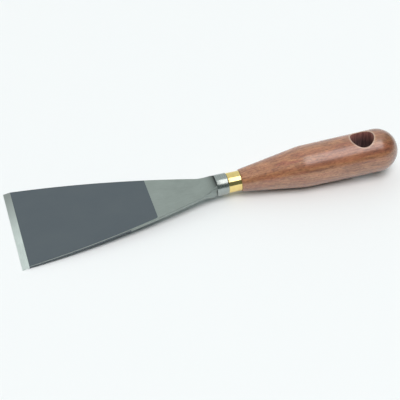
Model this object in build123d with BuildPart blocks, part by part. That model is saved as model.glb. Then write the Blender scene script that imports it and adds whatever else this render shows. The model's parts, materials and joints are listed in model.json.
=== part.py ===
"""Flexible putty knife: steel blade and tang, bolster, brass ferrule, resin bedding, hardwood handle.

Sizes are in millimetres. The tool lies at rest on Z = 0, on its working edge and on the shoulder of
the handle. +X runs from the working edge to the butt, +Y across the blade and +Z up.

Places along the tool are distances from the front face of the bolster: negative on the blade and
positive towards the butt. Heights are distances from the tool's own axis, which the handle's turned
shapes share and on which the blade is centred.
"""
import os
from math import asin, atan2, cos, hypot, sin

from build123d import *

# ------------------------------------------------------------------ driving dimensions

# Blade
edge_width = 70.0             # length of the straight working edge
blade_length = 128.0          # from the working edge to the bolster
belly_place = -67.7           # middle of each long side, which is a shallow arc
belly_half_width = 24.8
neck_place = -12.0            # where the long sides start to turn parallel
neck_half_width = 9.8
root_half_width = 6.7         # where the blade meets the bolster
side_slope_at_neck = -0.32    # change of half width per millimetre
edge_land = 0.25              # thickness left along the working edge
bevel_width = 4.4             # ground on the upper face only
tip_thickness = 1.4           # behind the bevel
neck_thickness = 2.2          # the blade tapers evenly from here to the bevel
root_thickness = 8.4          # the forged swelling at the bolster
root_slope = 0.25             # rise of its upper face there, per millimetre
root_corner_radius = 6.75     # its corners are turned down to a cone
root_corner_length = 8.0
root_corner_rise = 2.4        # growth of the cone's radius over its length

# Tang, hidden in the bolster, the ferrule and the handle
tang_width = 7.0
tang_thickness = 3.6
tang_end_width = 4.0
tang_end_thickness = 2.4
tang_end = 64.0

# Bolster
bolster_diameter = 13.6
bolster_length = 7.7
bolster_chamfer = 0.35

# Ferrule
ferrule_diameter = 12.8
ferrule_length = 8.5
ferrule_wall = 0.7
ferrule_rounding = 0.3

# Handle
handle_length = 104.5         # from the ferrule's rear rim to the butt
front_diameter = 14.2
front_rounding = 0.6
shoulder_diameter = 26.6
shoulder_distance = 40.8      # from the ferrule to the shoulder between cone and grip
shoulder_radius = 35.0        # of the arc that softens the shoulder
butt_diameter = 27.5          # the grip swells evenly from the shoulder to the domed butt
tang_bore_diameter = 8.2
tang_bore_end = 66.0
hang_hole_diameter = 15.0
hang_hole_distance = 80.8     # from the ferrule to the hole's axis
hang_hole_rounding = 0.3

# ------------------------------------------------------------------ worked-out places

ferrule_front = bolster_length
handle_front = ferrule_front + ferrule_length
shoulder_place = handle_front + shoulder_distance
hang_hole_place = handle_front + hang_hole_distance
butt_radius = butt_diameter / 2
dome_centre = handle_front + handle_length - butt_radius
spigot_radius = ferrule_diameter / 2 - ferrule_wall
underside = -tip_thickness / 2

# The shoulder's arc is tangent to the cone before it and to the grip behind it.
cone_angle = atan2((shoulder_diameter - front_diameter) / 2, shoulder_distance)
grip_angle = atan2((butt_diameter - shoulder_diameter) / 2, dome_centre - shoulder_place)
setback = shoulder_radius * (cone_angle - grip_angle) / 2
arc_start = (
    shoulder_place - setback * cos(cone_angle),
    shoulder_diameter / 2 - setback * sin(cone_angle),
)
arc_end = (
    shoulder_place + setback * cos(grip_angle),
    shoulder_diameter / 2 + setback * sin(grip_angle),
)
arc_depth = shoulder_radius * cos(cone_angle) - arc_start[1]
arc_centre_place = arc_start[0] + shoulder_radius * sin(cone_angle)

# At rest the table touches the blade's edge and is tangent to the underside of that arc.
reach = arc_centre_place + blade_length
rise = arc_depth - underside
pitch = asin(shoulder_radius / hypot(reach, rise)) - atan2(rise, reach)

# The tool's own directions, and its origin: the middle of the bolster's front face.
along = Vector(cos(pitch), 0, sin(pitch))
normal = Vector(-sin(pitch), 0, cos(pitch))
edge_x = -blade_length * cos(pitch) - (underside + edge_land) * sin(pitch)
butt_x = dome_centre * cos(pitch) + butt_radius
edge_z = -blade_length * sin(pitch) + underside * cos(pitch)
tool_origin = Vector(-(edge_x + butt_x) / 2, 0, -edge_z)

top_plane = Plane(tool_origin, x_dir=along, z_dir=normal)
side_plane = Plane(tool_origin, x_dir=along, z_dir=(0, -1, 0))
tool_axis = Axis(tool_origin, along)


def cross_plane(place):
    """A plane square to the tool, with its x across the blade and its y along the normal."""
    return Plane(tool_origin + along * place, x_dir=(0, -1, 0), z_dir=along)


# ------------------------------------------------------------------ blade, with its tang

# The tang is parallel through the bolster and tapers behind it.
with BuildPart() as tang:
    with BuildSketch(cross_plane(0)):
        Rectangle(tang_width, tang_thickness)
    extrude(amount=bolster_length)
    with BuildSketch(cross_plane(bolster_length)):
        Rectangle(tang_width, tang_thickness)
    with BuildSketch(cross_plane(tang_end)):
        Rectangle(tang_end_width, tang_end_thickness)
    loft()

with BuildPart() as blade:
    with BuildSketch(top_plane) as outline:
        with BuildLine():
            corner = (-blade_length, edge_width / 2)
            neck = (neck_place, neck_half_width)
            Line((-blade_length, 0), corner)
            ThreePointArc(corner, (belly_place, belly_half_width), neck)
            Spline(neck, (0, root_half_width), tangents=((1, side_slope_at_neck), (1, 0)))
            Polyline((0, root_half_width), (0, 0), (-blade_length, 0))
        make_face()
        mirror(about=Plane.XZ)
    extrude(amount=root_thickness, both=True)

    # Seen from the side: bevel, even taper, and the swelling up to the bolster.
    with BuildSketch(side_plane):
        with BuildLine():
            taper = (1, (neck_thickness - tip_thickness) / 2 / (blade_length + neck_place))
            under_neck = (neck_place, -neck_thickness / 2)
            over_neck = (neck_place, neck_thickness / 2)
            under_root = (0, -root_thickness / 2)
            over_root = (0, root_thickness / 2)
            Spline(under_neck, under_root, tangents=((1, -taper[1]), (1, -root_slope)))
            Line(under_root, over_root)
            Spline(over_neck, over_root, tangents=(taper, (1, root_slope)))
            Polyline(
                over_neck,
                (-blade_length + bevel_width, tip_thickness / 2),
                (-blade_length, underside + edge_land),
                (-blade_length, underside),
                under_neck,
            )
        make_face()
    extrude(amount=edge_width, both=True, mode=Mode.INTERSECT)

    # The swelling's corners are turned down so that they don't stand past the bolster.
    with BuildSketch(side_plane):
        with BuildLine():
            Polyline(
                (0, 0),
                (0, root_corner_radius),
                (-root_corner_length, root_corner_radius + root_corner_rise),
                (-root_corner_length, edge_width),
                (-blade_length, edge_width),
                (-blade_length, 0),
                close=True,
            )
        make_face()
    revolve(axis=tool_axis, mode=Mode.INTERSECT)

    add(tang.part)

# ------------------------------------------------------------------ bolster

with BuildPart() as bolster:
    with BuildSketch(cross_plane(0)):
        Circle(bolster_diameter / 2)
    extrude(amount=bolster_length)
    chamfer(bolster.edges().filter_by(GeomType.CIRCLE), bolster_chamfer)
    add(tang.part, mode=Mode.SUBTRACT)

# ------------------------------------------------------------------ ferrule

with BuildPart() as ferrule:
    with BuildSketch(cross_plane(ferrule_front)):
        Circle(ferrule_diameter / 2)
        Circle(spigot_radius, mode=Mode.SUBTRACT)
    extrude(amount=ferrule_length)
    fillet(ferrule.edges().filter_by(GeomType.CIRCLE).group_by(SortBy.RADIUS)[-1], ferrule_rounding)

# ------------------------------------------------------------------ handle

with BuildPart() as handle:
    with BuildSketch(side_plane):
        with BuildLine():
            nose = (handle_front + front_rounding, front_diameter / 2)
            Polyline(
                (ferrule_front, 0),
                (ferrule_front, spigot_radius),
                (handle_front, spigot_radius),
                (handle_front, front_diameter / 2 - front_rounding),
            )
            RadiusArc((handle_front, front_diameter / 2 - front_rounding), nose, front_rounding)
            Line(nose, arc_start)
            TangentArc(arc_start, arc_end, tangent=(cos(cone_angle), sin(cone_angle)))
            Line(arc_end, (dome_centre, butt_radius))
            RadiusArc((dome_centre, butt_radius), (dome_centre + butt_radius, 0), butt_radius)
            Line((dome_centre + butt_radius, 0), (ferrule_front, 0))
        make_face()
    revolve(axis=tool_axis)

    with BuildSketch(cross_plane(ferrule_front)):
        Circle(tang_bore_diameter / 2)
    extrude(amount=tang_bore_end - ferrule_front, mode=Mode.SUBTRACT)

    before_hole = handle.edges()
    with BuildSketch(top_plane):
        with Locations((hang_hole_place, 0)):
            Circle(hang_hole_diameter / 2)
    extrude(amount=butt_diameter, both=True, mode=Mode.SUBTRACT)
    fillet(handle.edges() - before_hole, hang_hole_rounding)

# ------------------------------------------------------------------ resin round the tang

with BuildPart() as tang_resin:
    with BuildSketch(cross_plane(bolster_length)):
        Circle(tang_bore_diameter / 2)
    extrude(amount=tang_bore_end - bolster_length)
    add(tang.part, mode=Mode.SUBTRACT)

# ------------------------------------------------------------------ files

blade.part.label = "blade"
bolster.part.label = "bolster"
ferrule.part.label = "ferrule"
handle.part.label = "handle"
tang_resin.part.label = "tang_resin"

os.makedirs("parts", exist_ok=True)
for piece in (blade, bolster, ferrule, handle, tang_resin):
    export_step(piece.part, f"parts/{piece.part.label}.step")
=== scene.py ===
import json
import math

import bmesh
import bpy
from mathutils import Matrix, Vector


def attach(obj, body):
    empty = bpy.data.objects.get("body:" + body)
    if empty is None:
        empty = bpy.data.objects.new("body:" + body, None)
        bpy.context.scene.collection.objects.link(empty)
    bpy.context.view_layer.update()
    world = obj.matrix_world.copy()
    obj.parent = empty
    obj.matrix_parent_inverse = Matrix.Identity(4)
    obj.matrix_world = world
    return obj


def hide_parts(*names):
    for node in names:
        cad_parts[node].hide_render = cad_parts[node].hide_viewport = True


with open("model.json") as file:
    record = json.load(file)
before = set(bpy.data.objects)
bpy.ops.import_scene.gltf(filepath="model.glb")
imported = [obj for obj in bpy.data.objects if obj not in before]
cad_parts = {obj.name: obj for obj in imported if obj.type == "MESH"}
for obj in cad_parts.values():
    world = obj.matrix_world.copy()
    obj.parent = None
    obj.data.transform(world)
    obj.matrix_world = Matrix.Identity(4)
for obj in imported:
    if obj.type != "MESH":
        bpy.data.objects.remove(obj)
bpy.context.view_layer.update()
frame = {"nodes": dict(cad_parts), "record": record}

# The putty knife's looks. Shapes are built in the tool's own directions, in millimetres: "place" runs
# along the tool from the bolster's front face (negative on the blade), "side" across the blade and
# "height" along the blade's normal. The hang hole's axis in the record says how the tool lies.

MM = 0.001

# ------------------------------------------------------------------ the tool's sizes

BLADE_LENGTH = 128.0
EDGE_HALF_WIDTH = 35.0
BELLY_PLACE, BELLY_HALF_WIDTH = -67.7, 24.8
NECK_PLACE, NECK_HALF_WIDTH = -12.0, 9.8
NECK_SLOPE = -0.32
ROOT_HALF_WIDTH = 6.7
EDGE_LAND = 0.25
BEVEL_WIDTH = 4.4
TIP_THICKNESS, NECK_THICKNESS, ROOT_THICKNESS = 1.4, 2.2, 8.4
ROOT_SLOPE = 0.25
ROOT_RADIUS, ROOT_CONE = 6.75, 0.3
LACQUER_END = -41.1                # the lacquer runs from the bevel to this place
LACQUER_MARGINS = (0.20, 0.35)     # bare strip along the near edge: towards the bevel and at the rear
LACQUER_WIDENS = (-68.0, -54.0)    # places between which that strip widens
LACQUER_CORNER = 1.2               # radius of the lacquer's rear corner at the near edge
FAR_MARGIN = 0.05                  # bare strip along the far edge
BARE_SIDE = -60.0                  # the blade's near side has no lacquer behind this place
EDGE_BROKEN, NECK_BROKEN = 0.08, 0.30    # rounding of the long edges at the working edge and the neck
ROOT_ROUNDING = 1.10               # what the upper long edges gain between the neck and the bolster

TANG_SECTIONS = ((0.0, 3.5, 1.8), (7.7, 3.5, 1.8), (64.0, 2.0, 1.2))    # place, half width, half thickness

BOLSTER_RADIUS, BOLSTER_LENGTH, BOLSTER_CHAMFER, BOLSTER_BORE = 6.8, 7.7, 0.35, 4.0
FERRULE_RADIUS, FERRULE_LENGTH, FERRULE_WALL, FERRULE_ROUNDING = 6.4, 8.5, 0.7, 0.3

HANDLE_FRONT = BOLSTER_LENGTH + FERRULE_LENGTH
HANDLE_LENGTH = 104.5
FRONT_RADIUS, FRONT_ROUNDING = 7.1, 0.6
SHOULDER_DISTANCE, SHOULDER_RADIUS = 40.8, 13.3
SHOULDER_SOFTNESS = 35.0           # radius of the arc between the cone and the grip
BUTT_RADIUS = 13.75
BORE_RADIUS, BORE_END = 4.1, 66.0
HOLE_PLACE, HOLE_RADIUS, HOLE_ROUNDING = HANDLE_FRONT + 80.8, 7.5, 0.3

# ------------------------------------------------------------------ where the tool lies

hole = next(m for m in frame["record"]["mounts"] if m["name"] == "hang_hole")
normal = Vector(hole["axis"]).normalized()
across = Vector((0, 1, 0))
along = across.cross(normal)
origin = Vector(hole["pos_m"]) - along * HOLE_PLACE * MM
pitch = math.atan2(along.z, along.x)


def at(place, side, height):
    """A point of the tool, in the frame's metres."""
    return origin + (along * place + across * side + normal * height) * MM


def spread(start, end, steps):
    """Evenly spaced values from start to end, both included."""
    return [start + (end - start) * i / steps for i in range(steps + 1)]


def arc(centre, radius, start, end, steps):
    """Points (place, radius) on an arc, by angles in radians."""
    return [
        (centre[0] + radius * math.cos(a), centre[1] + radius * math.sin(a))
        for a in spread(start, end, steps)
    ]


# ------------------------------------------------------------------ mesh helpers


def finish_piece(bm, name, node, materials, sharp_angle=30.0):
    """Turns a bmesh into a piece that stands for a CAD node and rides on the part's only body."""
    bmesh.ops.recalc_face_normals(bm, faces=bm.faces)
    limit = math.radians(sharp_angle)
    for face in bm.faces:
        face.smooth = True
    for edge in bm.edges:
        if len(edge.link_faces) == 2 and edge.calc_face_angle() > limit:
            edge.smooth = False
    mesh = bpy.data.meshes.new(name)
    bm.to_mesh(mesh)
    bm.free()
    for material in materials:
        mesh.materials.append(material)
    piece = bpy.data.objects.new(name, mesh)
    bpy.context.scene.collection.objects.link(piece)
    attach(piece, "root")
    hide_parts(node)
    return piece


RING_TURNS = 128       # points round a turned ring


def lathe(profile, second=()):
    """Turns a closed profile of (place, radius) points about the tool's axis into a ring. The profile's
    segments listed in second get the second material."""
    bm = bmesh.new()
    rings = []
    for k in range(RING_TURNS):
        turn = 2 * math.pi * k / RING_TURNS
        rings.append([bm.verts.new(at(p, r * math.cos(turn), r * math.sin(turn))) for p, r in profile])
    for k in range(RING_TURNS):
        one, two = rings[k], rings[(k + 1) % RING_TURNS]
        for i in range(len(profile)):
            j = (i + 1) % len(profile)
            face = bm.faces.new((one[i], one[j], two[j], two[i]))
            face.material_index = int(i in second)
    return bm


# ------------------------------------------------------------------ materials


class Shader:
    """A material's node tree, built one node at a time."""

    def __init__(self, name):
        self.material = bpy.data.materials.new(name)
        self.material.use_nodes = True
        self.tree = self.material.node_tree
        self.principled = self.tree.nodes["Principled BSDF"]

    def node(self, kind, settings=None, **inputs):
        made = self.tree.nodes.new("ShaderNode" + kind)
        for key, value in (settings or {}).items():
            setattr(made, key, value)
        for key, value in inputs.items():
            self.put(made.inputs[key.replace("_", " ")], value)
        return made

    def put(self, socket, value):
        if isinstance(value, bpy.types.NodeSocket):
            self.tree.links.new(value, socket)
        else:
            socket.default_value = value

    def surface(self, **inputs):
        for key, value in inputs.items():
            self.put(self.principled.inputs[key.replace("_", " ")], value)

    def place(self, scale):
        """The tool's own directions, stretched by a scale for each."""
        coordinates = self.node("TexCoord").outputs["Object"]
        mapping = self.node("Mapping", Vector=coordinates, Rotation=(0, pitch, 0), Scale=scale)
        return mapping.outputs["Vector"]

    def local(self, point):
        """A point (place, side, height) of the tool in the coordinates that the method place gives."""
        return Matrix((along, across, normal)) @ at(*point)

    def coordinate(self, axis):
        """One of the tool's own directions, X, Y or Z: along, across or up from the blade."""
        return self.node("SeparateXYZ", Vector=self.place((1, 1, 1))).outputs[axis]

    def noise(self, scale, detail=4.0, roughness=0.55, distortion=0.0):
        """Noise of about 0.3 to 0.7, stretched along the tool's own directions."""
        made = self.node(
            "TexNoise", Vector=self.place(scale), Scale=1.0, Detail=detail, Roughness=roughness,
            Distortion=distortion,
        )
        return made.outputs["Fac"]

    def ramp(self, factor, stops):
        """A colour ramp: stops are (position, colour)."""
        made = self.node("ValToRGB", Fac=factor)
        elements = made.color_ramp.elements
        for k, (position, colour) in enumerate(stops):
            element = elements[k] if k < 2 else elements.new(position)
            element.position = position
            element.color = (*colour, 1)
        return made.outputs["Color"]

    def span(self, factor, low, high, to_low, to_high):
        """Maps low to high onto to_low to to_high, and stays at their ends outside."""
        ends = {"From_Min": low, "From_Max": high, "To_Min": to_low, "To_Max": to_high}
        return self.node("MapRange", Value=factor, **ends).outputs["Result"]

    def mix(self, factor, a, b, blend="MIX"):
        """Mixes two colours. Sockets 0, 6, 7 and 2 are the factor, the colours and their mix."""
        made = self.node("Mix", {"data_type": "RGBA", "blend_type": blend})
        self.put(made.inputs[0], factor)
        self.put(made.inputs[6], a)
        self.put(made.inputs[7], b)
        return made.outputs[2]

    def calculate(self, operation, a, b=0.0):
        made = self.node("Math", {"operation": operation})
        self.put(made.inputs[0], a)
        self.put(made.inputs[1], b)
        return made.outputs[0]

    def bump(self, height, distance, strength=1.0, over=None):
        made = self.node("Bump", Height=height, Distance=distance, Strength=strength)
        if over is not None:
            self.put(made.inputs["Normal"], over)
        return made.outputs["Normal"]


LOW, HIGH = 0.3, 0.7             # what a noise mostly lies between
GROUND_SHADES = (0.80, 1.17)     # how dark and how light ground steel gets, as shares of its colour


def ground_steel(name, grain, colour, roughness, painted_shade_from, painted_shade_to, painted_shade_level, painted_shade_power=1.0):
    """Matte ground steel. Grain is the scale of its scratches along, across and through the blade. It
    gets darker from one point of the tool to another: painted shade, standing in for the shade and darker
    reflections that fall there."""
    s = Shader(name)
    scratches = s.noise(grain, detail=3.0, roughness=0.7)
    cloud = s.noise((60, 60, 60), detail=3.0)
    dark, light = [tuple(c * f for c in colour) for f in GROUND_SHADES]
    stops = [(LOW, dark), (HIGH, light)]
    base = s.mix(0.5, s.ramp(scratches, stops), s.ramp(cloud, stops))
    step = (painted_shade_to - painted_shade_from) * MM
    reach = s.node("VectorMath", {"operation": "DOT_PRODUCT"}, Vector=s.place((1, 1, 1)))
    reach.inputs[1].default_value = step.normalized()
    begin = s.local(painted_shade_from).dot(step.normalized())
    share = s.span(reach.outputs["Value"], begin, begin + step.length, 0.0, 1.0)
    # Painted shade: the colour that the steel darkens to at the second point.
    painted_shade_colour = (*[c * painted_shade_level for c in colour], 1)
    s.surface(
        Base_Color=s.mix(s.calculate("POWER", share, painted_shade_power), base, painted_shade_colour), Metallic=1.0,
        Roughness=s.span(scratches, LOW, HIGH, roughness - 0.05, roughness + 0.07),
        Normal=s.bump(scratches, 0.00003, 0.6),
    )
    return s.material


def lacquered_steel():
    """Dark blue-grey lacquer over the blade, smooth, with faint clouding."""
    s = Shader("lacquer")
    cloud = s.noise((45, 60, 60), detail=5.0, roughness=0.6)
    fine = s.noise((900, 1500, 1500), detail=2.0)
    colour = s.ramp(cloud, [(LOW, (0.064, 0.085, 0.101)), (HIGH, (0.075, 0.096, 0.110))])
    s.surface(
        Base_Color=colour, Metallic=0.0, Roughness=s.span(cloud, LOW, HIGH, 0.40, 0.48),
        Normal=s.bump(fine, 0.00001, 0.4), Specular_IOR_Level=0.5,
    )
    return s.material


def painted_shade_steel():
    """Painted shade for the bolster's front face: near-black steel standing in for the shade in the corner
    above the blade's neck.
    """
    s = Shader("painted_shade_steel")
    cloud = s.noise((900, 900, 900), detail=3.0)
    # Near-black colour: painted shade.
    colour = s.ramp(cloud, [(LOW, (0.030, 0.036, 0.035)), (HIGH, (0.065, 0.074, 0.072))])
    s.surface(Base_Color=colour, Metallic=0.7, Roughness=0.6)
    return s.material


def turned_metal(name, colour, roughness, tarnish):
    """Polished turned metal with fine marks round it and a little tarnish."""
    s = Shader(name)
    marks = s.noise((9000, 40, 40), detail=2.0)
    cloud = s.noise((350, 350, 350), detail=4.0)
    s.surface(
        Base_Color=s.mix(s.span(cloud, 0.35, 0.75, 0.0, 0.5), (*colour, 1), (*tarnish, 1)), Metallic=1.0,
        Roughness=s.span(marks, LOW, HIGH, roughness - 0.03, roughness + 0.04),
        Normal=s.bump(marks, 0.00001, 0.35),
    )
    return s.material


END_GRAIN_AND_SHADE = (104.0, 119.0)       # places between which the handle's surface turns into end grain and darkens, partly with painted shade
END_GRAIN_AND_SHADE_TONE = (0.66, 0.72, 0.78, 1)
RIM_HIGHLIGHT_SPAN = (0.2, 1.3)          # how far outside the hang hole the rim's painted highlight starts to fade, and is gone
RIM_HIGHLIGHT_SHARE, RIM_HIGHLIGHT_COLOUR = 0.75, (0.58, 0.42, 0.31, 1)
PLAIN = (1.0, 1.0, 1.0)


def wood_colour(s, streaks, flecks):
    """Bands of red and brown, with lighter patches, mottling, streaks and flecks over them."""
    bands = s.noise((14, 190, 150), detail=3.0, roughness=0.55, distortion=0.3)
    base = s.ramp(
        bands,
        [
            (0.30, (0.185, 0.046, 0.020)), (0.42, (0.335, 0.112, 0.048)), (0.53, (0.370, 0.156, 0.062)),
            (0.63, (0.285, 0.082, 0.035)), (0.74, (0.215, 0.056, 0.025)),
        ],
    )
    patches = s.noise((30, 60, 60), detail=2.0)
    base = s.mix(s.span(patches, 0.35, 0.65, 0.0, 0.45), base, (0.355, 0.168, 0.082, 1))
    mottle = s.noise((150, 330, 300), detail=3.0, roughness=0.6)
    shades = s.ramp(mottle, [(0.34, (0.82, 0.79, 0.77)), (0.50, PLAIN), (0.66, (1.13, 1.15, 1.17))])
    base = s.mix(1.0, base, shades, "MULTIPLY")
    lines = s.ramp(streaks, [(0.34, (0.60, 0.50, 0.46)), (0.50, PLAIN), (0.68, (1.18, 1.18, 1.17))])
    base = s.mix(0.9, base, lines, "MULTIPLY")
    specks = s.ramp(flecks, [(0.34, (0.50, 0.44, 0.42)), (0.47, PLAIN), (0.66, (1.18, 1.18, 1.18))])
    return s.mix(0.8, base, specks, "MULTIPLY")


def hardwood():
    """Reddish-brown close-grained hardwood under a satin coat. The grain runs along the handle, its end
    at the butt is darkened by painted shade, partly the end grain's own darker tone, and the rim of the
    hang hole carries a painted highlight."""
    s = Shader("hardwood")
    streaks = s.noise((40, 1100, 900), detail=4.0, roughness=0.65, distortion=0.2)
    flecks = s.noise((520, 1500, 1500), detail=3.0, roughness=0.6)
    base = wood_colour(s, streaks, flecks)

    # The butt darkens: painted shade where less light reaches it, partly the end grain's own darker tone.
    begin, end = (s.local((place, 0, 0)).x for place in END_GRAIN_AND_SHADE)
    share = s.span(s.coordinate("X"), begin, end, 0.0, 1.0)
    base = s.mix(share, base, s.mix(1.0, base, END_GRAIN_AND_SHADE_TONE, "MULTIPLY"))

    hole_axis = s.local((HOLE_PLACE, 0, 0))
    flat = s.node("VectorMath", {"operation": "MULTIPLY"}, Vector=s.place((1, 1, 1)))
    flat.inputs[1].default_value = (1, 1, 0)
    away = s.node("VectorMath", {"operation": "DISTANCE"})
    s.put(away.inputs[0], flat.outputs[0])
    away.inputs[1].default_value = (hole_axis.x, hole_axis.y, 0)
    highlight_full, highlight_gone = ((HOLE_RADIUS + outside) * MM for outside in RIM_HIGHLIGHT_SPAN)
    # Painted highlight: a pale colour laid round the hang hole's rim.
    base = s.mix(s.span(away.outputs["Value"], highlight_full, highlight_gone, RIM_HIGHLIGHT_SHARE, 0.0), base, RIM_HIGHLIGHT_COLOUR)
    s.surface(
        Base_Color=base, Roughness=s.span(streaks, LOW, HIGH, 0.52, 0.34),
        Normal=s.bump(flecks, 0.00015, 0.6, over=s.bump(streaks, 0.00012, 0.5)),
        Coat_Weight=1.0, Coat_Roughness=0.26, Coat_IOR=1.8,
    )
    return s.material


# The hang hole's wall is darkest this close to the handle's axis, and lightest this far from it: painted
# shade, deepest in the middle of the hole.
WALL_DARK, WALL_LIGHT = 4.0, 11.8


def bored_wood():
    """The wall of the hang hole: raw wood with the drill's fibres, darkened by painted shade deep inside.
    """
    s = Shader("bored_wood")
    fibres = s.noise((1100, 1100, 90), detail=3.0, roughness=0.6)
    middle = s.local((HOLE_PLACE, 0, 0)).z
    away = s.calculate("ABSOLUTE", s.calculate("SUBTRACT", s.coordinate("Z"), middle))
    deep = s.ramp(fibres, [(0.32, (0.075, 0.045, 0.045)), (0.62, (0.200, 0.120, 0.115))])
    shallow = s.ramp(fibres, [(0.32, (0.28, 0.110, 0.095)), (0.62, (0.52, 0.225, 0.190))])
    # Painted shade: the wall darkens towards the middle of the hole.
    base = s.mix(s.span(away, WALL_DARK * MM, WALL_LIGHT * MM, 0.0, 1.0), deep, shallow)
    s.surface(Base_Color=base, Roughness=0.75, Normal=s.bump(fibres, 0.0001, 0.6))
    return s.material


def cast_resin():
    s = Shader("resin")
    cloud = s.noise((300, 300, 300))
    colour = s.ramp(cloud, [(LOW, (0.30, 0.25, 0.16)), (HIGH, (0.40, 0.34, 0.23))])
    s.surface(Base_Color=colour, Roughness=0.4)
    return s.material


# ------------------------------------------------------------------ blade


def parabola(points):
    """The second-degree curve through three points, as a function."""
    (x0, y0), (x1, y1), (x2, y2) = points

    def value(x):
        return (
            y0 * (x - x1) * (x - x2) / ((x0 - x1) * (x0 - x2))
            + y1 * (x - x0) * (x - x2) / ((x1 - x0) * (x1 - x2))
            + y2 * (x - x0) * (x - x1) / ((x2 - x0) * (x2 - x1))
        )

    return value


side_curve = parabola(
    [(-BLADE_LENGTH, EDGE_HALF_WIDTH), (BELLY_PLACE, BELLY_HALF_WIDTH), (NECK_PLACE, NECK_HALF_WIDTH)]
)


def swell(place, start, end, slope, end_slope):
    """A smooth change between the neck and the bolster, with the slopes it starts and ends with."""
    span = -NECK_PLACE
    t = (place - NECK_PLACE) / span
    return (
        start * (2 * t**3 - 3 * t**2 + 1) + slope * span * (t**3 - 2 * t**2 + t)
        + end * (3 * t**2 - 2 * t**3) + end_slope * span * (t**3 - t**2)
    )


def half_width(place):
    if place <= NECK_PLACE:
        return side_curve(place)
    return swell(place, NECK_HALF_WIDTH, ROOT_HALF_WIDTH, NECK_SLOPE, 0.0)


def half_thickness(place):
    """Half of the thickness behind the bevel: an even taper, then the swelling up to the bolster."""
    taper = (NECK_THICKNESS - TIP_THICKNESS) / 2 / (BLADE_LENGTH + NECK_PLACE)
    if place <= NECK_PLACE:
        return TIP_THICKNESS / 2 + taper * (place + BLADE_LENGTH)
    return swell(place, NECK_THICKNESS / 2, ROOT_THICKNESS / 2, taper, ROOT_SLOPE)


def top_height(place):
    bevel_end = -BLADE_LENGTH + BEVEL_WIDTH
    if place >= bevel_end:
        return half_thickness(place)
    share = (place + BLADE_LENGTH) / BEVEL_WIDTH
    low = -half_thickness(-BLADE_LENGTH) + EDGE_LAND
    return low + (half_thickness(bevel_end) - low) * share


def corner_radii(place):
    """How far the long edges are rounded, above and below: a hair at the working edge, more at the neck,
    and behind the neck the upper ones far more."""
    share = min(1.0, (place + BLADE_LENGTH) / (BLADE_LENGTH + NECK_PLACE))
    broken = EDGE_BROKEN + (NECK_BROKEN - EDGE_BROKEN) * share
    return broken + ROOT_ROUNDING * max(0.0, 1 - place / NECK_PLACE), broken


def bare_margin(place):
    """How far the lacquer stops short of the near edge. Its rear corner there is rounded."""
    share = (place - LACQUER_WIDENS[0]) / (LACQUER_WIDENS[1] - LACQUER_WIDENS[0])
    share = min(max(share, 0.0), 1.0)
    share *= share * (3 - 2 * share)
    into_corner = min(max(place - LACQUER_END + LACQUER_CORNER, 0.0), LACQUER_CORNER)
    rounding = LACQUER_CORNER - math.sqrt(LACQUER_CORNER**2 - into_corner**2)
    return LACQUER_MARGINS[0] + (LACQUER_MARGINS[1] - LACQUER_MARGINS[0]) * share + rounding


CORNER_STEPS = 4           # faces round each rounded long edge
FACE_STEPS = 16            # faces across the upper and the lower side
BEVEL_STEPS, LACQUER_STEPS, LACQUER_CORNER_STEPS, BARE_STEPS, SWELL_STEPS = 3, 48, 5, 14, 16
ROUNDING_SHARE = 0.48      # the most of the blade's thickness that one rounded edge takes
STRIP_SHARE = 0.2          # the most of the half width that the bare strip takes
HAIR = 1e-6                # tolerance when places are compared
GROUND, LACQUER, BEVEL, EDGE = range(4)    # the blade's materials


def blade_section(place):
    """One closed section: upper face, far side, lower face, near side. Points are (side, height)."""
    w, top, low = half_width(place), top_height(place), -half_thickness(place)
    upper, lower = (min(r, (top - low) * ROUNDING_SHARE) for r in corner_radii(place))
    flat, under = w - upper, w - lower
    border = flat - min(bare_margin(place), flat * STRIP_SHARE)
    points = [(x, top) for x in (-flat, *spread(-border, flat - FAR_MARGIN, FACE_STEPS - 2), flat)]
    points += arc((flat, top - upper), upper, math.pi / 2, 0, CORNER_STEPS)[1:]
    points += arc((under, low + lower), lower, 0, -math.pi / 2, CORNER_STEPS)[:-1]
    points += [(x, low) for x in spread(under, -under, FACE_STEPS)]
    points += arc((-under, low + lower), lower, -math.pi / 2, -math.pi, CORNER_STEPS)[1:]
    points += arc((-flat, top - upper), upper, math.pi, math.pi / 2, CORNER_STEPS)[:-1]
    limit = ROOT_RADIUS - ROOT_CONE * place
    return [(x * k, z * k) for x, z in points for k in [min(1.0, limit / math.hypot(x, z))]]


def tang_section(half_wide, half_thick, model):
    """The tang's square-cornered section, with as many points as the blade's section."""
    points = []
    for side, height in model:
        reach = max(abs(side) / half_wide, abs(height) / half_thick)
        points.append((side / reach, height / reach))
    return points


def blade_places(bevel_end):
    """The places of the blade's sections, from the working edge to the bolster."""
    corner_start = LACQUER_END - LACQUER_CORNER
    return [
        *spread(-BLADE_LENGTH, bevel_end, BEVEL_STEPS),
        *spread(bevel_end, corner_start, LACQUER_STEPS)[1:],
        *spread(corner_start, LACQUER_END, LACQUER_CORNER_STEPS)[1:],
        *spread(LACQUER_END, NECK_PLACE, BARE_STEPS)[1:],
        *spread(NECK_PLACE, 0, SWELL_STEPS)[1:],
    ]


def blade_material(start, end, i, count, bevel_end):
    """The material of face i, of a section's count, between two places."""
    corners = {*range(FACE_STEPS, FACE_STEPS + CORNER_STEPS), *range(count - CORNER_STEPS, count)}
    far_side, near_side = FACE_STEPS + CORNER_STEPS, count - CORNER_STEPS - 1
    lacquered = bevel_end - HAIR <= start < end <= LACQUER_END + HAIR
    if lacquered and start > BARE_SIDE and i == near_side:
        return EDGE
    if lacquered and i not in corners | {0, FACE_STEPS - 1}:
        return LACQUER
    if start < bevel_end - HAIR:
        return BEVEL
    if not lacquered and i in corners | {far_side, near_side}:
        return EDGE
    return GROUND


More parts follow.
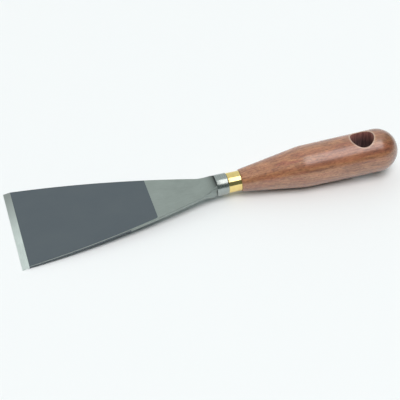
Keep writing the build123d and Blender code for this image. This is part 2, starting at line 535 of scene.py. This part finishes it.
def blade_materials():
    """The blade's materials, in the order that GROUND, LACQUER, BEVEL and EDGE give."""
    # The ground steel's painted shade darkens the last 7 mm of the neck before the bolster, where the
    # corner lies in shade.
    ground = ground_steel(
        "ground_steel", grain=(70, 2600, 2600), colour=(0.408, 0.455, 0.430), roughness=0.42,
        painted_shade_from=Vector((-7, 0, 0)), painted_shade_to=Vector((0, 0, 0)), painted_shade_level=0.25, painted_shade_power=2.5,
    )
    lacquer = lacquered_steel()
    # The bevel's painted shade: lighter at its near side, darker towards its far side, a painted gradient
    # of light across it.
    bevel = ground_steel(
        "bevel_steel", grain=(2600, 160, 2600), colour=(0.82, 0.89, 0.86), roughness=0.36,
        painted_shade_from=Vector((-126, -12, 0)), painted_shade_to=Vector((-126, 32, 0)), painted_shade_level=0.46,
    )
    # The edge steel's painted shade darkens it a little over the last 3 mm before the bolster.
    edge = ground_steel(
        "edge_steel", grain=(2600, 2600, 2600), colour=(0.385, 0.435, 0.415), roughness=0.55,
        painted_shade_from=Vector((-3, 0, 0)), painted_shade_to=Vector((0, 0, 0)), painted_shade_level=0.85,
    )
    return [ground, lacquer, bevel, edge]


def make_blade():
    bevel_end = -BLADE_LENGTH + BEVEL_WIDTH
    places = blade_places(bevel_end)
    bm = bmesh.new()
    loops = []
    for place in places:
        loops.append([bm.verts.new(at(place, s, h)) for s, h in blade_section(place)])
    root = blade_section(0)
    for place, half_wide, half_thick in TANG_SECTIONS:
        section = tang_section(half_wide, half_thick, root)
        loops.append([bm.verts.new(at(place, s, h)) for s, h in section])
    places += [place for place, _, _ in TANG_SECTIONS]
    count = len(root)
    for k in range(len(loops) - 1):
        for i in range(count):
            j = (i + 1) % count
            face = bm.faces.new((loops[k][i], loops[k][j], loops[k + 1][j], loops[k + 1][i]))
            face.material_index = blade_material(places[k], places[k + 1], i, count, bevel_end)
    bm.faces.new(loops[0])
    bm.faces.new(reversed(loops[-1]))
    return finish_piece(
        bm, "blade_body", "blade", blade_materials(), sharp_angle=4.0
    )


# ------------------------------------------------------------------ bolster and ferrule

CHAMFER_STEPS, RIM_STEPS = 5, 6
# The bolster's front face and the chamfer's start get painted shade, near-black steel for the shaded
# corner.
PAINTED_SHADE_FACES = (0, 1, 2)     # segments of the bolster's profile: its front face and the chamfer's start


def make_bolster():
    r, c = BOLSTER_RADIUS, BOLSTER_CHAMFER
    profile = [
        (0, BOLSTER_BORE), (0, r - c), *arc((c, r - c), c, math.pi, math.pi / 2, CHAMFER_STEPS)[1:],
        *arc((BOLSTER_LENGTH - c, r - c), c, math.pi / 2, 0, CHAMFER_STEPS),
        (BOLSTER_LENGTH, BOLSTER_BORE),
    ]
    steel = turned_metal("turned_steel", (0.42, 0.460, 0.445), 0.25, (0.31, 0.345, 0.330))
    ring = lathe(profile, second=PAINTED_SHADE_FACES)
    return finish_piece(ring, "bolster_collar", "bolster", [steel, painted_shade_steel()])


def make_ferrule():
    r, c, front, rear = FERRULE_RADIUS, FERRULE_ROUNDING, BOLSTER_LENGTH, HANDLE_FRONT
    inner = r - FERRULE_WALL
    profile = [
        (front, inner), (front, r - c),
        *arc((front + c, r - c), c, math.pi, math.pi / 2, RIM_STEPS)[1:],
        *arc((rear - c, r - c), c, math.pi / 2, 0, RIM_STEPS), (rear, inner),
    ]
    brass = turned_metal("brass", (0.97, 0.77, 0.32), 0.12, (0.84, 0.60, 0.22))
    return finish_piece(lathe(profile), "ferrule_ring", "ferrule", [brass])


# ------------------------------------------------------------------ handle

TURNS = 192            # points round the handle
WINDOW_TURNS = 32      # half width, in those points, of the patch round each mouth of the hang hole
WINDOW_STEPS = 32      # length of that patch, in stations
BORE_STEPS, NOSE_STEPS, CONE_STEPS, SHOULDER_STEPS, GRIP_STEPS, DOME_STEPS = 6, 6, 14, 8, 10, 24
PATCH_RINGS = 7        # rings of faces between a patch's border and the hole's rounded rim
PATCH_CROWDING = 0.8   # below 1 they get narrower towards the rim
ROUNDING_STEPS = 6
WALL_STEPS = 6
PROBE, PROBE_ROUNDS = 0.01, 12    # step and rounds of the search for where the hole's rounding starts

shoulder_place = HANDLE_FRONT + SHOULDER_DISTANCE
dome_centre = HANDLE_FRONT + HANDLE_LENGTH - BUTT_RADIUS
cone_angle = math.atan2(SHOULDER_RADIUS - FRONT_RADIUS, SHOULDER_DISTANCE)
grip_angle = math.atan2(BUTT_RADIUS - SHOULDER_RADIUS, dome_centre - shoulder_place)
window_start = HOLE_PLACE - (dome_centre - HOLE_PLACE)


def grip_radius(place):
    return SHOULDER_RADIUS + (place - shoulder_place) * math.tan(grip_angle)


def handle_profile():
    """(place, radius) from the bottom of the tang's bore, out over the spigot and on to the butt, in
    three runs: up to the patches round the hang hole's mouths, along them, and the butt's dome."""
    on_cone, on_grip = math.pi / 2 + cone_angle, math.pi / 2 + grip_angle
    setback = SHOULDER_SOFTNESS * (cone_angle - grip_angle) / 2
    start = shoulder_place - setback * math.cos(cone_angle)
    start_radius = SHOULDER_RADIUS - setback * math.sin(cone_angle)
    shoulder_centre = (
        start + SHOULDER_SOFTNESS * math.sin(cone_angle),
        start_radius - SHOULDER_SOFTNESS * math.cos(cone_angle),
    )
    spigot = FERRULE_RADIUS - FERRULE_WALL
    nose_centre = (HANDLE_FRONT + FRONT_ROUNDING, FRONT_RADIUS - FRONT_ROUNDING)
    nose = arc(nose_centre, FRONT_ROUNDING, math.pi, on_cone, NOSE_STEPS)
    shoulder = arc(shoulder_centre, SHOULDER_SOFTNESS, on_cone, on_grip, SHOULDER_STEPS)
    nose_end, nose_radius = nose[-1]
    cone = [
        (p, nose_radius + (start_radius - nose_radius) * (p - nose_end) / (start - nose_end))
        for p in spread(nose_end, start, CONE_STEPS)[1:-1]
    ]
    grip = [(p, grip_radius(p)) for p in spread(shoulder[-1][0], window_start, GRIP_STEPS)[1:]]
    window = [(p, grip_radius(p)) for p in spread(window_start, dome_centre, WINDOW_STEPS)[1:]]
    dome = arc((dome_centre, 0), BUTT_RADIUS, math.pi / 2, 0, DOME_STEPS)[1:-1]
    inside = [(p, BORE_RADIUS) for p in spread(BORE_END, BOLSTER_LENGTH, BORE_STEPS)]
    outside = [(BOLSTER_LENGTH, spigot), (HANDLE_FRONT, spigot), *nose, *cone, *shoulder, *grip]
    return inside + outside, window, dome


def mouth_section(bearing):
    """The hang hole's rounded rim in the plane at a bearing about its axis: (reach, height) from the
    grip's surface down to the wall."""

    def height(reach):
        place, side = HOLE_PLACE + reach * math.cos(bearing), reach * math.sin(bearing)
        return math.sqrt(grip_radius(place) ** 2 - side**2)

    def lean(reach):
        rise = (height(reach + PROBE) - height(reach - PROBE)) / (2 * PROBE)
        return math.atan2(1, -rise)

    touch = HOLE_RADIUS + HOLE_ROUNDING
    for _ in range(PROBE_ROUNDS):
        touch = HOLE_RADIUS + HOLE_ROUNDING * (1 + math.cos(lean(touch)))
    angle = lean(touch)
    centre = (touch - HOLE_ROUNDING * math.cos(angle), height(touch) - HOLE_ROUNDING * math.sin(angle))
    return arc(centre, HOLE_ROUNDING, angle, math.pi, ROUNDING_STEPS)


def surface_vert(bm, place, turn, radius=None):
    """A vert of the handle's turned surface. Without a radius it lies on the grip."""
    r = grip_radius(place) if radius is None else radius
    return bm.verts.new(at(place, r * math.cos(turn), r * math.sin(turn)))


def join(bm, one, two, material=0):
    """Faces between two closed rings of verts."""
    for k in range(len(one)):
        j = (k + 1) % len(one)
        bm.faces.new((one[k], one[j], two[j], two[k])).material_index = material


def from_mouth(k):
    """How many points round the handle k is from the middle of the nearer mouth of the hang hole."""
    away = (k - TURNS // 4) % (TURNS // 2)
    return min(away, TURNS // 2 - away)


def handle_shell(bm, stations, first, last):
    """The handle's surface with both ends closed, but open where the patches round the hang hole's
    mouths go, between the stations first and last. Returns its verts by station and turn."""
    grid = {}
    for i, (place, radius) in enumerate(stations):
        for k in range(TURNS):
            if not (first < i < last and from_mouth(k) < WINDOW_TURNS):
                grid[i, k] = surface_vert(bm, place, 2 * math.pi * k / TURNS, radius)
    for i in range(len(stations) - 1):
        for k in range(TURNS):
            j = (k + 1) % TURNS
            if not (first <= i < last and from_mouth(k + 0.5) < WINDOW_TURNS):
                bm.faces.new((grid[i, k], grid[i + 1, k], grid[i + 1, j], grid[i, j]))
    for row, place in ((0, BORE_END), (len(stations) - 1, dome_centre + BUTT_RADIUS)):
        pole = bm.verts.new(at(place, 0, 0))
        for k in range(TURNS):
            bm.faces.new((grid[row, k], grid[row, (k + 1) % TURNS], pole))
    return grid


def patch_border(first, last, middle):
    """The shell's points round a patch, in order, as (station, turn)."""
    low, high = middle - WINDOW_TURNS, middle + WINDOW_TURNS
    return (
        [(i, low) for i in range(first, last)]
        + [(last, k) for k in range(low, high)]
        + [(i, high) for i in range(last, first, -1)]
        + [(first, k) for k in range(high, low, -1)]
    )


def mouth_patch(bm, grid, stations, border, up):
    """Closes the shell from a patch's border to a mouth of the hang hole and round the mouth's rim, above
    (up is 1) or below (up is -1). Returns the ring of verts where the hole's wall starts, and the
    bearing of each about the hole's axis."""
    sections = []
    for i, k in border:
        turn = 2 * math.pi * k / TURNS
        place = stations[i][0]
        offset = (turn - math.pi / 2 * (2 - up)) * -up * grip_radius(place)
        sections.append((place, turn, math.atan2(offset, place - HOLE_PLACE)))
    bearings = [bearing for _, _, bearing in sections]
    rings = [[grid[key] for key in border]]
    for ring in range(1, PATCH_RINGS + 1):
        share = (ring / PATCH_RINGS) ** PATCH_CROWDING
        verts = []
        for place, turn, bearing in sections:
            reach, height = mouth_section(bearing)[0]
            to_place = HOLE_PLACE + reach * math.cos(bearing) - place
            to_turn = math.atan2(up * height, reach * math.sin(bearing)) % (2 * math.pi) - turn
            verts.append(surface_vert(bm, place + to_place * share, turn + to_turn * share))
        rings.append(verts)
    for step in range(1, ROUNDING_STEPS + 1):
        verts = []
        for bearing in bearings:
            reach, height = mouth_section(bearing)[step]
            rim_place = HOLE_PLACE + reach * math.cos(bearing)
            verts.append(bm.verts.new(at(rim_place, reach * math.sin(bearing), up * height)))
        rings.append(verts)
    for one, two in zip(rings, rings[1:]):
        join(bm, one, two)
    return rings[-1], bearings


def hole_wall(bm, upper, lower):
    """The wall between the mouths. Their borders run opposite ways, so verts are matched by bearing."""
    top_ring, bearings = upper
    under_ring, under_bearings = lower
    bottom_ring = []
    for bearing in bearings:
        gaps = [abs(math.remainder(other - bearing, 2 * math.pi)) for other in under_bearings]
        bottom_ring.append(under_ring[gaps.index(min(gaps))])
    rings = [top_ring]
    for step in range(1, WALL_STEPS):
        share = step / WALL_STEPS
        rings.append([bm.verts.new(a.co.lerp(b.co, share)) for a, b in zip(top_ring, bottom_ring)])
    rings.append(bottom_ring)
    for one, two in zip(rings, rings[1:]):
        join(bm, one, two, material=1)


def make_handle():
    before, window, dome = handle_profile()
    stations = before + window + dome
    first = len(before) - 1
    last = first + WINDOW_STEPS
    bm = bmesh.new()
    grid = handle_shell(bm, stations, first, last)
    upper = mouth_patch(bm, grid, stations, patch_border(first, last, TURNS // 4), 1)
    lower = mouth_patch(bm, grid, stations, patch_border(first, last, 3 * TURNS // 4), -1)
    hole_wall(bm, upper, lower)
    return finish_piece(bm, "handle_wood", "handle", [hardwood(), bored_wood()])


# ------------------------------------------------------------------ stage, light and camera

FLOOR_FADE = (0.9, 1.6)        # where the paper starts to fade and where it is gone, in metres
FLOOR_COLOUR = (0.841, 0.875, 0.890, 1)

# The soft panel above and in front of the tool: elevations in degrees from the table, seen from the
# tool; distance and reach along the tool's length in metres; brightness. It lights and it shows in
# reflections. The core only lights: the same light all over the table, from about the panel's middle.
PANEL_ELEVATIONS, PANEL_DISTANCE, PANEL_REACH, PANEL_BRIGHTNESS = (47, 92), 5.6, (0.09, 2.40), 2.60
CORE_ELEVATION, CORE_SPREAD, CORE_STRENGTH = 66, 36, 1.65
LIGHT_COLOUR = (1.035, 0.985, 0.975)

ROOM_TURN = (-0.25, 0.25)      # where the dark front turns into the grey back, by the direction's Y
ROOM_END = (0.45, 0.90)        # where the back turns dark again towards the butt, by X
ROOM_FRONT = (0.130, 0.160, 0.153)
ROOM_BACK = (0.705, 0.745, 0.735)
BACKGROUND = (0.92, 0.93, 0.94)


def make_stage():
    """A sheet of pale paper, with its far edges faded out so that no view shows them."""
    bm = bmesh.new()
    bmesh.ops.create_grid(bm, x_segments=1, y_segments=1, size=FLOOR_FADE[1])
    mesh = bpy.data.meshes.new("floor")
    bm.to_mesh(mesh)
    bm.free()
    floor = bpy.data.objects.new("floor", mesh)
    s = Shader("floor_paper")
    middle = s.node("TexCoord").outputs["Object"]
    away = s.node("VectorMath", {"operation": "LENGTH"}, Vector=middle).outputs["Value"]
    s.surface(
        Base_Color=FLOOR_COLOUR, Roughness=0.9, Specular_IOR_Level=0.1,
        Alpha=s.span(away, *FLOOR_FADE, 1.0, 0.0),
    )
    mesh.materials.append(s.material)
    bpy.context.scene.collection.objects.link(floor)


def place_light(data, facing, location):
    """A light at a location, shining back along the direction it is seen in."""
    light = bpy.data.objects.new(data.name, data)
    light.location = location
    light.rotation_mode = "QUATERNION"
    light.rotation_quaternion = facing.to_track_quat("Z", "Y")
    bpy.context.scene.collection.objects.link(light)
    return light


def make_panel():
    """A long soft panel with its long edges along the tool."""
    low, high = (math.radians(a) for a in PANEL_ELEVATIONS)
    centre = (low + high) / 2
    data = bpy.data.lights.new("key", "AREA")
    data.shape = "RECTANGLE"
    data.size = PANEL_REACH[1] - PANEL_REACH[0]
    data.size_y = 2 * PANEL_DISTANCE * math.tan((high - low) / 2)
    data.energy = PANEL_BRIGHTNESS * math.pi * data.size * data.size_y
    data.color = LIGHT_COLOUR
    facing = Vector((0, -math.cos(centre), math.sin(centre)))
    place_light(data, facing, facing * PANEL_DISTANCE + Vector((sum(PANEL_REACH) / 2, 0, 0)))


def make_core():
    """The even light on the table, which reflections don't show."""
    data = bpy.data.lights.new("core", "SUN")
    data.energy = CORE_STRENGTH
    data.angle = math.radians(CORE_SPREAD)
    data.color = LIGHT_COLOUR
    height = math.radians(CORE_ELEVATION)
    facing = Vector((0, -math.cos(height), math.sin(height)))
    place_light(data, facing, facing).visible_glossy = False


def soft_step(tree, value, span, start, end):
    """A smooth change from start to end over a span of the value."""
    made = tree.nodes.new("ShaderNodeMapRange")
    made.interpolation_type = "SMOOTHSTEP"
    tree.links.new(value, made.inputs["Value"])
    made.inputs["From Min"].default_value, made.inputs["From Max"].default_value = span
    made.inputs["To Min"].default_value, made.inputs["To Max"].default_value = start, end
    return made.outputs["Result"]


def make_world():
    """A pale studio to the eye. For light it is a grey room behind the tool and a dark one in front."""
    world = bpy.data.worlds.new("studio")
    world.use_nodes = True
    tree = world.node_tree
    nodes, links = tree.nodes, tree.links
    split = nodes.new("ShaderNodeSeparateXYZ")
    links.new(nodes.new("ShaderNodeTexCoord").outputs["Generated"], split.inputs[0])
    share = nodes.new("ShaderNodeMath")
    share.operation = "MULTIPLY"
    links.new(soft_step(tree, split.outputs["Y"], ROOM_TURN, 0.0, 1.0), share.inputs[0])
    links.new(soft_step(tree, split.outputs["X"], ROOM_END, 1.0, 0.0), share.inputs[1])
    blend = nodes.new("ShaderNodeMix")
    blend.data_type = "RGBA"
    links.new(share.outputs[0], blend.inputs[0])
    blend.inputs[6].default_value, blend.inputs[7].default_value = (*ROOM_FRONT, 1), (*ROOM_BACK, 1)
    room = nodes["Background"]
    links.new(blend.outputs[2], room.inputs["Color"])
    seen = nodes.new("ShaderNodeBackground")
    seen.inputs["Color"].default_value = (*BACKGROUND, 1)
    choose = nodes.new("ShaderNodeMixShader")
    links.new(nodes.new("ShaderNodeLightPath").outputs["Is Camera Ray"], choose.inputs[0])
    links.new(room.outputs[0], choose.inputs[1])
    links.new(seen.outputs[0], choose.inputs[2])
    links.new(choose.outputs[0], nodes["World Output"].inputs[0])
    bpy.context.scene.world = world


CAMERA_AZIMUTH, CAMERA_ELEVATION, CAMERA_ROLL = (math.radians(a) for a in (-16.93, 41.17, 1.61))
CAMERA_DISTANCE = 0.7961
CAMERA_AIM = Vector((-0.00927, -0.01125, 0.010))
CAMERA_LENS, SENSOR_WIDTH = 116.6, 36.0
CAMERA_CLIP = (0.01, 20.0)


def make_camera():
    a, e = CAMERA_AZIMUTH, CAMERA_ELEVATION
    back = Vector((math.sin(a) * math.cos(e), -math.cos(a) * math.cos(e), math.sin(e)))
    data = bpy.data.cameras.new("camera")
    data.lens, data.sensor_width = CAMERA_LENS, SENSOR_WIDTH
    data.clip_start, data.clip_end = CAMERA_CLIP
    camera = bpy.data.objects.new("camera", data)
    camera.location = CAMERA_AIM + back * CAMERA_DISTANCE
    right = Vector((math.cos(a), math.sin(a), 0))
    turned = Matrix((right, back.cross(right), back)).transposed() @ Matrix.Rotation(CAMERA_ROLL, 3, "Z")
    camera.rotation_mode = "QUATERNION"
    camera.rotation_quaternion = turned.to_quaternion()
    bpy.context.scene.collection.objects.link(camera)
    bpy.context.scene.camera = camera


make_camera()
make_stage()
make_world()
make_panel()
make_core()
bpy.context.scene.view_settings.view_transform = "Standard"

make_blade()
make_bolster()
make_ferrule()
make_handle()
resin = frame["nodes"]["tang_resin"].data
resin.materials.clear()
resin.materials.append(cast_resin())
